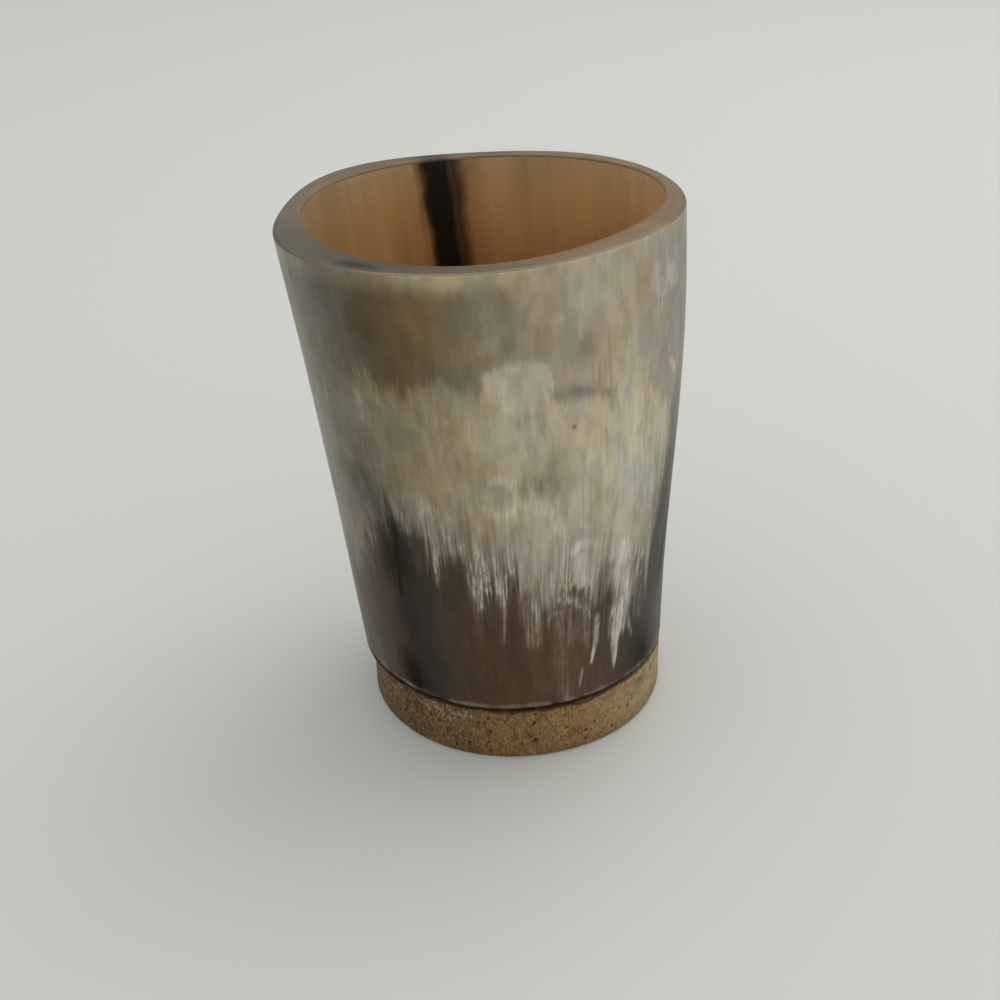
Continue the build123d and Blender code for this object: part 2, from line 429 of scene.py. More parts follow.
def horn_radius(share, turn):
    """Cone from foot to rim, with a slight belly and waist, growing oval, lobed and cornered to the rim."""
    swell = BELLY * np.sin(np.pi * share) + WAIST * np.sin(2 * np.pi * share)
    oval = RIM_OVAL * np.cos(2 * np.radians(turn - RIM_OVAL_TURN))
    lobe = RIM_LOBE * np.cos(3 * np.radians(turn - RIM_LOBE_TURN))
    return between(FOOT_RADIUS, RIM_RADIUS, share) + swell + share * (oval + lobe + rim_corners(turn))


def wall_thickness(share, turn):
    """Even taper from foot to rim, thicker on one side, at three soft lobes and at the rim's corners."""
    skew = WALL_SKEW * np.cos(np.radians(turn - WALL_SKEW_TURN))
    lobe = WALL_LOBE * np.cos(3 * np.radians(turn - WALL_LOBE_TURN))
    return between(FOOT_WALL, RIM_WALL, share) + share * (skew + lobe + rim_corners(turn))


def stroke(turn, height, start, end, points, power):
    """Soft brush mark along straight runs between points: 1 on the line and a third at the half width, which
    goes evenly from start to end. It falls off across the run as a bell, crisper for a higher power."""
    mark = np.zeros_like(turn)
    runs = len(points) - 1
    for run, ((turn_a, height_a), (turn_b, height_b)) in enumerate(zip(points, points[1:])):
        across = apart(turn, turn_a) * PER_DEGREE
        along = height - height_a
        step = np.array(((turn_b - turn_a) * PER_DEGREE, height_b - height_a))
        share = np.clip((across * step[0] + along * step[1]) / (step @ step), 0, 1)
        distance = np.hypot(across - share * step[0], along - share * step[1])
        half = between(start, end, (run + share) / runs)
        mark = np.maximum(mark, np.exp(-(distance / half) ** power))
    return mark


def patch(turn, height, middle_turn, middle_height, half_turn, half_height, fade):
    """Soft rounded box: 1 inside, falling to 0 over fade millimetres across its outline."""
    across = np.abs(apart(turn, middle_turn)) * PER_DEGREE - half_turn * PER_DEGREE + fade
    along = np.abs(height - middle_height) - half_height + fade
    outside = np.hypot(np.maximum(across, 0), np.maximum(along, 0))
    return np.clip(1.5 - outside / fade, 0, 1)


def bell(turn, height, middle_turn, middle_height, half_turn, half_height):
    """Soft oval patch: 1 in the middle, and a third at its half turn and half height."""
    across = apart(turn, middle_turn) / half_turn
    along = (height - middle_height) / half_height
    return np.exp(-across ** 2 - along ** 2)


def strongest(marks, shape, turn, height, **settings):
    """The strongest of several marks at each point. A mark is its strength, then what its shape asks for."""
    return np.max([strength * shape(turn, height, *mark, **settings) for strength, *mark in marks], axis=0)


def from_table(table, turn, column=1):
    """A column of a table at each turn, drawn straight between its rows and carried on round the back."""
    columns = np.array(table).T
    return np.interp(turn, columns[0], columns[column], period=360)


def horn_fields(turn, height):
    """The broad pattern of the horn as point fields: how far each point lies above the fringe and the cap,
    how strong each kind of mark is there, and how far it lies inside the black and the red streak."""
    fringe = height - from_table(FRINGE, turn)
    frost = from_table(FROST, turn) * np.clip((fringe + FROST_START) / FROST_START, 0, 1)
    frost = frost * np.clip((FROST_END - fringe) / FROST_FADE, 0, 1)
    dark_marks = strongest(DARK_MARKS, stroke, turn, height, power=2)
    lean = from_table(FIBRE_LEAN, turn) * np.maximum(LEAN_START - height, 0)
    angle = np.radians(turn + lean)
    tube = (PATTERN_RADIUS * np.sin(angle), PATTERN_RADIUS * np.cos(angle), height)
    scraped_highlight_line = height - from_table(FOOT_SCRAPE_HIGHLIGHT, turn)
    return {
        "fibre": np.stack(tube, axis=-1),
        "fringe": fringe,
        "solid": height - from_table(SOLID, turn),
        "frost": frost,
        "mottle": strongest(MOTTLE_PATCHES, bell, turn, height),
        "cap": (height - from_table(CAP, turn)) / from_table(CAP, turn, column=2),
        "pale": strongest(PALE_MARKS, stroke, turn, height, power=3),
        "milk": strongest(MILK_PATCHES, patch, turn, height, fade=1.2),
        "dark": np.maximum(dark_marks, strongest(DARK_PATCHES, bell, turn, height)),
        "gold": strongest(GOLD_PATCHES, bell, turn, height),
        "glow": bell(turn, height, *GLOW),
        "scraped_highlight_line": from_table(FOOT_SCRAPE_HIGHLIGHT, turn, column=2) * np.exp(-(scraped_highlight_line / FOOT_SCRAPE_HIGHLIGHT_HALF) ** 2),
        "foot_shade": np.clip(0.2 - scraped_highlight_line / FOOT_SHADE_FADE, 0, 1),
        "black_streak": BLACK_STREAK[1] - np.abs(apart(turn, BLACK_STREAK[0])) * PER_DEGREE,
        "red_streak": RED_STREAK[1] - np.abs(apart(turn, RED_STREAK[0])) * PER_DEGREE,
    }


def horn_wall():
    """Closed tube: each row is a ring round the horn's drifting axis at one height. A row lies on the outer
    skin (skin 0), the bore (skin 1) or between, less an inset towards the axis. Rows go out under the foot,
    over its bevel, up the outer wall, round the rim, down the bore, and back along ledge and socket."""
    bevel_top_z = FOOT_Z + FOOT_BEVEL_RISE
    quarter = np.linspace(0, np.pi / 2, ROUND_ROWS)
    outer_arc = RIM_OUTER_ROUND * (1 - np.cos(quarter))
    outer_rise = RIM_OUTER_ROUND * (np.sin(quarter) - 1)
    inner_arc = RIM_INNER_ROUND * (1 - np.cos(quarter[::-1]))
    inner_rise = RIM_INNER_ROUND * (np.sin(quarter[::-1]) - 1)
    across = np.linspace(0, 1, RIM_ROWS + 2)[1:-1]
    low_rows = np.linspace(bevel_top_z + 0.2, bevel_top_z + 2.0, LOW_ROWS)
    high_rows = np.linspace(low_rows[-1], RIM_Z - RIM_OUTER_ROUND - 0.5, WALL_ROWS + 1)[1:]
    wall_rows = np.append(low_rows, high_rows)
    bore_rows = np.linspace(RIM_Z - RIM_INNER_ROUND - 0.4, SPIGOT_TOP_Z + 0.2, BORE_ROWS)
    under_foot = np.array([FOOT_BEVEL + 0.12, FOOT_BEVEL])
    up_bevel = np.array([0.12, 0.88, 1.0])
    # Height, skin and inset of the rows, in the order that they go round
    stations = (
        (np.full_like(under_foot, FOOT_Z), np.zeros_like(under_foot), under_foot),
        (FOOT_Z + FOOT_BEVEL_RISE * up_bevel, np.zeros_like(up_bevel), FOOT_BEVEL * (1 - up_bevel)),
        (wall_rows, np.zeros_like(wall_rows), np.zeros_like(wall_rows)),
        (RIM_Z + outer_rise, np.zeros_like(outer_rise), outer_arc),
        (np.full_like(across, RIM_Z), across, between(RIM_OUTER_ROUND, -RIM_INNER_ROUND, across)),
        (RIM_Z + inner_rise, np.ones_like(inner_rise), -inner_arc),
        (bore_rows, np.ones_like(bore_rows), np.zeros_like(bore_rows)),
    )
    height, skin, inset = (np.concatenate(part)[:, None] for part in zip(*stations))
    turn = np.linspace(-180, 180, HORN_COLUMNS, endpoint=False)[None, :]
    share = np.clip((height - FOOT_Z) / HORN_HEIGHT, 0, 1)
    angle = np.radians(turn)
    ripple = np.sin(0.11 * height + 4 * angle) * np.sin(3 * angle - 0.07 * height)
    polish = (POLISH_DEPTH + POLISH_WAVE * ripple) * (1 - skin)
    radius = horn_radius(share, turn) - skin * wall_thickness(share, turn) - inset - polish
    grown = rings(radius, turn, height, axis_shift(share))
    socket = rings(SOCKET_RADIUS, turn, np.array([[SPIGOT_TOP_Z], [FOOT_Z]]))
    points = np.concatenate((grown, socket))
    rows = len(points)
    every_turn = np.broadcast_to(turn, points.shape[:2]).ravel()
    every_height = points[..., 2].ravel()
    fields = horn_fields(every_turn, every_height)
    every_skin = np.concatenate((skin, [[1.0], [1.0]]))
    fields["depth"] = np.broadcast_to(every_skin, points.shape[:2]).ravel()
    fields["smudge"] = bell(every_turn, fields["depth"], *RIM_SMUDGE)
    arc_start = len(under_foot) + len(up_bevel) + len(wall_rows)
    edge_start = arc_start + ROUND_ROWS // 2
    bore_start = arc_start + ROUND_ROWS + RIM_ROWS + ROUND_ROWS - 1
    finish_of_row = np.zeros(rows)
    finish_of_row[edge_start:bore_start] = 1
    finish_of_row[bore_start:] = 2
    make_piece(
        "polished_horn_wall", "horn_wall", points.reshape(-1, 3),
        ring_faces(rows, HORN_COLUMNS, closed=True).tolist(),
        (polished_horn(), sanded_horn_edge(), scraped_horn_bore()), fields,
        np.repeat(finish_of_row, HORN_COLUMNS))


def fibre_grains(tree, fibre, sizes):
    """Noise drawn out along the horn for each named grain: its width and its length in millimetres."""
    grains = {}
    for name, (width, length) in sizes.items():
        drawn = add(tree, "ShaderNodeVectorMath", {0: fibre, 1: (1 / width, 1 / width, 1 / length)},
                    operation="MULTIPLY")
        grains[name] = add(tree, "ShaderNodeTexNoise", {"Vector": drawn, "Scale": 1.0, "Detail": 1.5},
                           normalize=False)
    return grains


def stirred(tree, value, grain, reach):
    """A value with each named grain added to it, times the reach given for that grain."""
    for name, length in reach.items():
        value = add(tree, "ShaderNodeMath", {0: grain[name], 1: length, 2: value}, operation="MULTIPLY_ADD")
    return value


def laid_over(tree, below, tint, edge, low, high, hides=1.0):
    """A colour with a tint over it where an edge value goes from low to high, up to the share it hides."""
    cover = add(tree, "ShaderNodeMapRange", {0: edge, 1: low, 2: high, 4: hides},
                interpolation_type="SMOOTHSTEP")
    return add(tree, "ShaderNodeMix", {0: cover, 6: below, 7: tint}, out=2, data_type="RGBA")


def round_share(tree, fibre):
    """How far round the horn a point lies: 0 and 1 at the back, 0.25 at the left, 0.5 at the front."""
    place = add(tree, "ShaderNodeSeparateXYZ", {0: fibre}).node
    turn = add(tree, "ShaderNodeMath", {0: place.outputs[0], 1: place.outputs[1]}, operation="ARCTAN2")
    return add(tree, "ShaderNodeMath", {0: turn, 1: 0.5 / np.pi, 2: 0.5}, operation="MULTIPLY_ADD")


def polished_horn():
    """Buffalo horn, scraped and polished with wax. A thin pale film and a smoky cap lie over a dark core, and
    the edges between them are torn into hair-fine fibres along the cup, under a soft even gloss."""
    finish, tree = new_finish("polished_horn")
    fibre = add(tree, "ShaderNodeAttribute", out="Vector", attribute_name="fibre")
    grain = fibre_grains(tree, fibre, {
        "hair": (0.36, 8.0), "lock": (1.0, 10.0), "strand": (3.0, 18.0), "nick": (0.42, 1.7),
        "flow": (0.9, 4.0), "drift": (2.6, 5.0), "tinge": (6.0, 8.0), "cloud": (9.0, 12.0),
        "tuft": (5.0, 7.0), "speck": (0.5, 0.9)})
    field = {name: add(tree, "ShaderNodeAttribute", out="Fac", attribute_name=name) for name in (
        "fringe", "solid", "frost", "mottle", "cap", "pale", "milk", "dark", "gold", "glow", "scraped_highlight_line",
        "foot_shade", "black_streak")}

    share = round_share(tree, fibre)
    core = add(tree, "ShaderNodeValToRGB", {0: share}, stops=(
        (0.0, "3a2c1d"), (0.25, "463a26"), (0.35, "44311d"), (0.385, "392616"), (0.40, "2e2118"),
        (0.42, "2b221a"), (0.442, "40301f"), (0.50, "49341f"), (0.56, "553f2b"), (0.62, "473525"),
        (0.66, "2c1d0c"), (0.70, "2b1f12"), (0.75, "2d2721"), (1.0, "3a2c1d")))
    film = add(tree, "ShaderNodeValToRGB", {0: share}, stops=(
        (0.0, "a0927a"), (0.25, "8a877b"), (0.36, "6f695b"), (0.42, "7f735c"), (0.47, "978a70"),
        (0.51, "aca189"), (0.56, "b9ae99"), (0.63, "beb49e"), (0.675, "aca391"), (0.695, "6e675a"),
        (1.0, "a0927a")))
    cap = add(tree, "ShaderNodeValToRGB", {0: share}, stops=(
        (0.0, "8b7d63"), (0.25, "7d796f"), (0.36, "686254"), (0.40, "5a4f3d"), (0.44, "5f4f36"),
        (0.48, "736650"), (0.51, "918673"), (0.57, "a79a88"), (0.63, "ada28d"), (0.66, "9a8f83"),
        (0.71, "7f796f"), (0.85, "857a66"), (1.0, "8b7d63")))
    height = add(tree, "ShaderNodeSeparateXYZ", {0: fibre}, out=2)
    film = laid_over(tree, film, linear("988e85"), height, 60.0, 40.0, 0.5)
    # Painted glow: the cap is lighter in a band just under the rim, where light comes through the thin edge
    cap = laid_over(tree, cap, linear("a59a80"), height, 91.0, 94.8, 0.25)

    # Films with torn edges: colour, the field of heights above the edge, how far each grain draws that edge
    # out in millimetres, where it starts and ends, and how much it hides
    colour = core
    for tint, source, reach, low, high, hides in (
            (film, "fringe", {"strand": 4.0, "lock": 3.0, "hair": 1.5}, -9.0, 2.0, 0.16),
            (film, "fringe", {"strand": 1.5, "lock": 3.0, "hair": 5.0, "nick": 2.0}, -3.0, 4.0, 0.55),
            (film, "solid", {"strand": 4.0, "lock": 4.0, "hair": 4.0}, -9.0, 5.0, 1.0),
            (cap, "cap", {"strand": 0.6, "lock": 1.0, "hair": 1.1, "nick": 0.5}, -1.5, 1.5, 1.0),
            (linear("1d1711"), "black_streak", {"strand": 1.5, "lock": 1.2, "hair": 1.0}, -1.6, 1.6, 0.9)):
        edge = stirred(tree, field[source], grain, reach)
        colour = laid_over(tree, colour, tint, edge, low, high, hides)

    # Marks: colour, the field that says how strong they are, how much each grain breaks them up, where they
    # start and are full, and how much they hide
    for tint, source, breaks, low, high, hides in (
            (linear("7d652f"), "gold", {"cloud": 0.2}, 0.0, 1.2, 0.45),
            (linear("aea283"), "glow", {"cloud": 0.6, "drift": 0.2}, 0.0, 1.1, 0.62),
            (linear("b5ada3"), "frost", {"hair": 2.0, "lock": 1.0, "nick": 2.0}, 0.7, 1.8, 0.6),
            (linear("b7ae9f"), "milk", {"tuft": 0.5, "flow": 0.5, "lock": 0.3}, 0.0, 0.7, 1.0),
            (linear("c2b8a9"), "pale", {"lock": 0.3, "hair": 0.5, "nick": 0.5, "flow": 0.3}, 0.0, 1.0, 1.0),
            (linear("1a150f"), "dark", {"lock": 0.3, "hair": 0.2}, 0.0, 1.2, 1.0),
            (linear("50463a"), "mottle", {"speck": 1.6}, 0.8, 1.5, 0.5),
            # Painted shade on the foot's bevel, and its light top edge: pale scraped horn and a painted
            # highlight
            (linear("1c130a"), "foot_shade", {"lock": 0.2}, 0.0, 0.8, 0.85),
            (linear("7a6c5f"), "scraped_highlight_line", {"strand": 0.6, "drift": 0.5, "cloud": 0.4}, 0.1, 1.2, 0.75)):
        broken = stirred(tree, 1.0, grain, breaks)
        edge = add(tree, "ShaderNodeMath", {0: field[source], 1: broken}, operation="MULTIPLY")
        colour = laid_over(tree, colour, tint, edge, low, high, hides)

    # Fine streaks come and go, and are faint in the smoky and golden parts
    smooth = add(tree, "ShaderNodeMath", {0: field["gold"], 1: field["dark"]}, operation="MAXIMUM")
    smooth = add(tree, "ShaderNodeMath", {0: smooth, 1: field["milk"]}, operation="MAXIMUM")
    under_cap = add(tree, "ShaderNodeMapRange", {0: field["cap"], 1: 0.0, 2: 4.0, 3: 1.0, 4: 0.5})
    coming = stirred(tree, under_cap, grain, {"tuft": 1.2})
    streaky = add(tree, "ShaderNodeMath", {0: smooth, 1: -0.9, 2: coming}, operation="MULTIPLY_ADD",
                  use_clamp=True)
    flecks = add(tree, "ShaderNodeMapRange", {0: grain["flow"], 1: -0.12, 2: 0.12, 3: -0.04, 4: 0.04},
                 interpolation_type="SMOOTHSTEP")
    streaks = stirred(tree, flecks, grain, {"flow": 0.06, "lock": 0.07, "hair": 0.05, "nick": 0.02})
    hairy = add(tree, "ShaderNodeMath", {0: field["frost"], 1: grain["hair"]}, operation="MULTIPLY")
    streaks = add(tree, "ShaderNodeMath", {0: hairy, 1: 0.2, 2: streaks}, operation="MULTIPLY_ADD")
    shade = add(tree, "ShaderNodeMapRange", {0: grain["drift"], 1: -0.12, 2: 0.12, 3: 0.955, 4: 1.045},
                interpolation_type="SMOOTHSTEP")
    shade = stirred(tree, shade, grain, {"drift": 0.06, "strand": 0.09, "cloud": 0.12})
    shade = add(tree, "ShaderNodeMath", {0: streaks, 1: streaky, 2: shade}, operation="MULTIPLY_ADD")
    shade = add(tree, "ShaderNodeVectorMath", {0: grain["tinge"], 1: (0.06, 0.0, -0.15), 2: shade},
                operation="MULTIPLY_ADD")
    colour = add(tree, "ShaderNodeVectorMath", {0: colour, 1: shade}, operation="MULTIPLY")

    # The wax gloss is uneven, and is scraped off where the horn is dark; it is dulled too over the light line
    # at the foot, partly a painted highlight, and over the painted shade below it
    gloss = stirred(tree, 0.36, grain, {"lock": 0.08, "cloud": 0.06})
    dull = add(tree, "ShaderNodeMath", {0: field["dark"], 1: field["scraped_highlight_line"]}, operation="MAXIMUM")
    dull = add(tree, "ShaderNodeMath", {0: dull, 1: field["foot_shade"]}, operation="MAXIMUM")
    sheen = add(tree, "ShaderNodeMapRange", {0: dull, 1: 0.1, 2: 0.7, 3: 0.35, 4: 0.03})
    ridges = add(tree, "ShaderNodeBump", {"Height": grain["lock"], "Strength": 0.15, "Distance": 0.03 * MM})
    skin = add(tree, "ShaderNodeBsdfPrincipled", {
        "Base Color": colour, "Roughness": gloss, "IOR": 1.45, "Specular IOR Level": sheen, "Normal": ridges})
    add(tree, "ShaderNodeOutputMaterial", {"Surface": skin})
    return finish


def sanded_horn_edge():
    """Horn cut across and sanded: the wall's growth layers show as faint lines along the rim, under a dull
    gloss, with a thin outer edge that is dark at the left and painted pale at the front as a highlight."""
    finish, tree = new_finish("sanded_horn_edge")
    fibre = add(tree, "ShaderNodeAttribute", out="Vector", attribute_name="fibre")
    field = {name: add(tree, "ShaderNodeAttribute", out="Fac", attribute_name=name)
             for name in ("depth", "smudge", "black_streak")}
    grain = fibre_grains(tree, fibre, {"cloud": (8.0, 8.0), "grit": (0.6, 0.6)})
    share = round_share(tree, fibre)
    across = add(tree, "ShaderNodeCombineXYZ", {0: share, 1: field["depth"]})
    drawn = add(tree, "ShaderNodeVectorMath", {0: across, 1: (14.0, 7.0, 1.0)}, operation="MULTIPLY")
    grain["layers"] = add(tree, "ShaderNodeTexNoise", {"Vector": drawn, "Scale": 1.0, "Detail": 1.5},
                          normalize=False)
    # Thin outer edge: dark at the left, and painted pale at the front as a highlight where light catches its
    # round
    edge = add(tree, "ShaderNodeValToRGB", {0: share}, stops=(
        (0.0, "6b5c45"), (0.25, "544d42"), (0.34, "4a4338"), (0.40, "675d4d"), (0.45, "867a67"),
        (0.50, "7d7159"), (0.58, "7e7058"), (0.66, "87795f"), (0.72, "5f5647"), (0.85, "7d6b52"),
        (1.0, "6b5c45")))
    face = add(tree, "ShaderNodeValToRGB", {0: share}, stops=(
        (0.0, "61523c"), (0.125, "695942"), (0.25, "625849"), (0.33, "504a3a"), (0.375, "504735"),
        (0.417, "4a4132"), (0.458, "524338"), (0.50, "5b4f39"), (0.54, "6b5a40"), (0.583, "735d42"),
        (0.667, "7c6648"), (0.75, "705f45"), (0.833, "79654c"), (0.875, "806848"), (0.917, "76654a"),
        (1.0, "61523c")))
    layer = stirred(tree, field["depth"], grain, {"cloud": 0.06})
    colour = laid_over(tree, edge, face, layer, 0.01, 0.1)
    inner = add(tree, "ShaderNodeValToRGB", {0: share}, stops=(
        (0.0, "765c3d"), (0.25, "765f45"), (0.33, "54462f"), (0.375, "463c27"), (0.417, "3a3021"),
        (0.458, "4a3828"), (0.50, "604c2c"), (0.54, "70522d"), (0.667, "785a32"), (0.75, "765c3d"),
        (1.0, "765c3d")))
    colour = laid_over(tree, colour, inner, layer, 0.5, 0.95, 0.6)
    colour = laid_over(tree, colour, linear("17120c"), field["smudge"], 0.15, 1.0, 0.95)
    colour = laid_over(tree, colour, linear("241c13"), field["black_streak"], -1.5, 1.5, 0.7)
    shade = stirred(tree, 1.0, grain, {"layers": 0.16, "cloud": 0.15, "grit": 0.06})
    colour = add(tree, "ShaderNodeVectorMath", {0: colour, "Scale": shade}, operation="SCALE")
    skin = add(tree, "ShaderNodeBsdfPrincipled", {
        "Base Color": colour, "Roughness": 0.5, "IOR": 1.45, "Specular IOR Level": 0.35})
    add(tree, "ShaderNodeOutputMaterial", {"Surface": skin})
    return finish


def scraped_horn_bore():
    """Inside of the horn, scraped and oiled: light coming through the wall makes it warm tan, deeper and
    redder further down, with soft lengthwise bands and one black streak."""
    finish, tree = new_finish("scraped_horn_bore")
    fibre = add(tree, "ShaderNodeAttribute", out="Vector", attribute_name="fibre")
    grain = fibre_grains(tree, fibre, {
        "hair": (0.6, 60.0), "strand": (3.0, 90.0), "cloud": (12.0, 20.0), "wave": (5.0, 7.0)})
    height = add(tree, "ShaderNodeSeparateXYZ", {0: fibre}, out=2)
    depth = add(tree, "ShaderNodeMapRange", {0: height, 1: SPIGOT_TOP_Z, 2: RIM_Z})
    colour = add(tree, "ShaderNodeValToRGB", {0: depth}, stops=(
        (0.0, "875d36"), (0.5, "a47444"), (0.75, "bb8854"), (0.92, "c69864"), (1.0, "be9d73")))
    tone = add(tree, "ShaderNodeValToRGB", {0: round_share(tree, fibre)}, stops=(
        (0.0, "ebebe8"), (0.03, "ebebe6"), (0.083, "e0dfd8"), (0.12, "f0f2ee"), (0.167, "dadfde"),
        (0.21, "cdd6d8"), (0.35, "e0e0e0"), (0.65, "f0f0f0"), (0.78, "fafaf6"), (0.89, "f0f0ec"),
        (1.0, "ebebe8")))
    colour = add(tree, "ShaderNodeVectorMath", {0: colour, 1: tone}, operation="MULTIPLY")
    # Streaks: colour, the field that says how far inside one a point lies, how far the grain draws its edge
    # out, where that edge starts and ends, and how much it hides
    for tint, name, reach, low, high, hides in (
            (linear("6e4627"), "red_streak", 1.5, -6.0, 0.0, 0.45),
            (linear("37180e"), "red_streak", 0.7, -1.4, 1.2, 0.9),
            (linear("4d3519"), "black_streak", 1.2, -2.2, 0.4, 0.85),
            (linear("120b07"), "black_streak", 0.9, -0.9, 0.9, 1.0)):
        field = add(tree, "ShaderNodeAttribute", out="Fac", attribute_name=name)
        edge = stirred(tree, field, grain, {"strand": reach, "wave": 0.8})
        colour = laid_over(tree, colour, tint, edge, low, high, hides)
    shade = stirred(tree, 1.0, grain, {"hair": 0.04, "strand": 0.12, "cloud": 0.18})
    colour = add(tree, "ShaderNodeVectorMath", {0: colour, "Scale": shade}, operation="SCALE")
    skin = add(tree, "ShaderNodeBsdfPrincipled", {
        "Base Color": colour, "Roughness": 0.45, "IOR": 1.45, "Specular IOR Level": 0.35})
    add(tree, "ShaderNodeOutputMaterial", {"Surface": skin})
    return finish


def wooden_base():
    """Turned disc and spigot: rows of rings from the middle of the underside, round the foot, up the side,
    over the bevelled shoulder and up the spigot to its middle. Open pores are pressed into the side as round
    pits of many sizes, and only where the fibres end."""
    quarter = np.linspace(0, np.pi / 2, ROUND_ROWS)
    underside = np.array([4.0, 12.0, 20.0, 26.0])
    bevel_z = SHOULDER_Z - BASE_SHOULDER_BEVEL
    side_rows = np.linspace(BASE_FOOT_ROUND + 0.15, bevel_z - 0.1, SIDE_ROWS)
    shoulder_radius = BASE_RADIUS - BASE_SHOULDER_BEVEL
    # Radius and height of the rows, in the order that they go up
    profile = (
        (underside, np.zeros(len(underside))),
        (BASE_RADIUS - BASE_FOOT_ROUND * (1 - np.sin(quarter)), BASE_FOOT_ROUND * (1 - np.cos(quarter))),
        (np.full(SIDE_ROWS, BASE_RADIUS), side_rows),
        (np.array([BASE_RADIUS, shoulder_radius]), np.array([bevel_z, SHOULDER_Z])),
        (np.array([26.5, SPIGOT_RADIUS, SPIGOT_RADIUS, 20.0, 8.0]),
         np.array([SHOULDER_Z, SHOULDER_Z, SPIGOT_TOP_Z, SPIGOT_TOP_Z, SPIGOT_TOP_Z])),
    )
    radius, height = (np.concatenate(part)[:, None] for part in zip(*profile))
    turn = np.linspace(-180, 180, BASE_COLUMNS, endpoint=False)[None, :]
    pits = np.zeros((len(radius), BASE_COLUMNS))
    side_start = len(underside) + ROUND_ROWS
    side = slice(side_start, side_start + SIDE_ROWS)
    chance = np.random.default_rng(7)
    pit_turn = chance.uniform(-180, 180, PIT_TRIES)
    pit_height = chance.uniform(0.9, SHOULDER_Z - 0.6, PIT_TRIES)
    pit_size = chance.uniform(0.2, 0.62, PIT_TRIES) ** 1.4
    end_grain = np.cos(np.radians(pit_turn - GRAIN_TURN)) ** 2
    pit_size = pit_size * (end_grain > chance.uniform(0.1, 1.2, PIT_TRIES))
    across = apart(turn[..., None], pit_turn) * (BASE_RADIUS * np.pi / 180)
    along = height[side][..., None] - pit_height
    spread = np.hypot(across, along) / np.maximum(pit_size, 0.01)
    pits[side] = np.exp(-spread ** 2).max(axis=-1)
    dust = bell(turn, height, *DUST)
    radius = radius - PIT_DEPTH * pits - LATHE_WAVE * (1 + np.sin(np.radians(5 * turn) + 0.4 * height))
    poles = [[0, 0, 0], [0, 0, SPIGOT_TOP_Z]]
    points = np.concatenate((rings(radius, turn, height).reshape(-1, 3), poles))
    rows = len(radius)
    last = rows * BASE_COLUMNS
    faces = ring_faces(rows, BASE_COLUMNS, closed=False).tolist()
    faces += pole_faces(0, BASE_COLUMNS, last, on_top=False).tolist()
    faces += pole_faces(last - BASE_COLUMNS, BASE_COLUMNS, last + 1, on_top=True).tolist()
    make_piece(
        "turned_wood_base", "wooden_base", points, faces, (oiled_wood(),),
        {"pits": np.append(pits.ravel(), (0, 0)), "dust": np.append(dust.ravel(), (0, 0))})


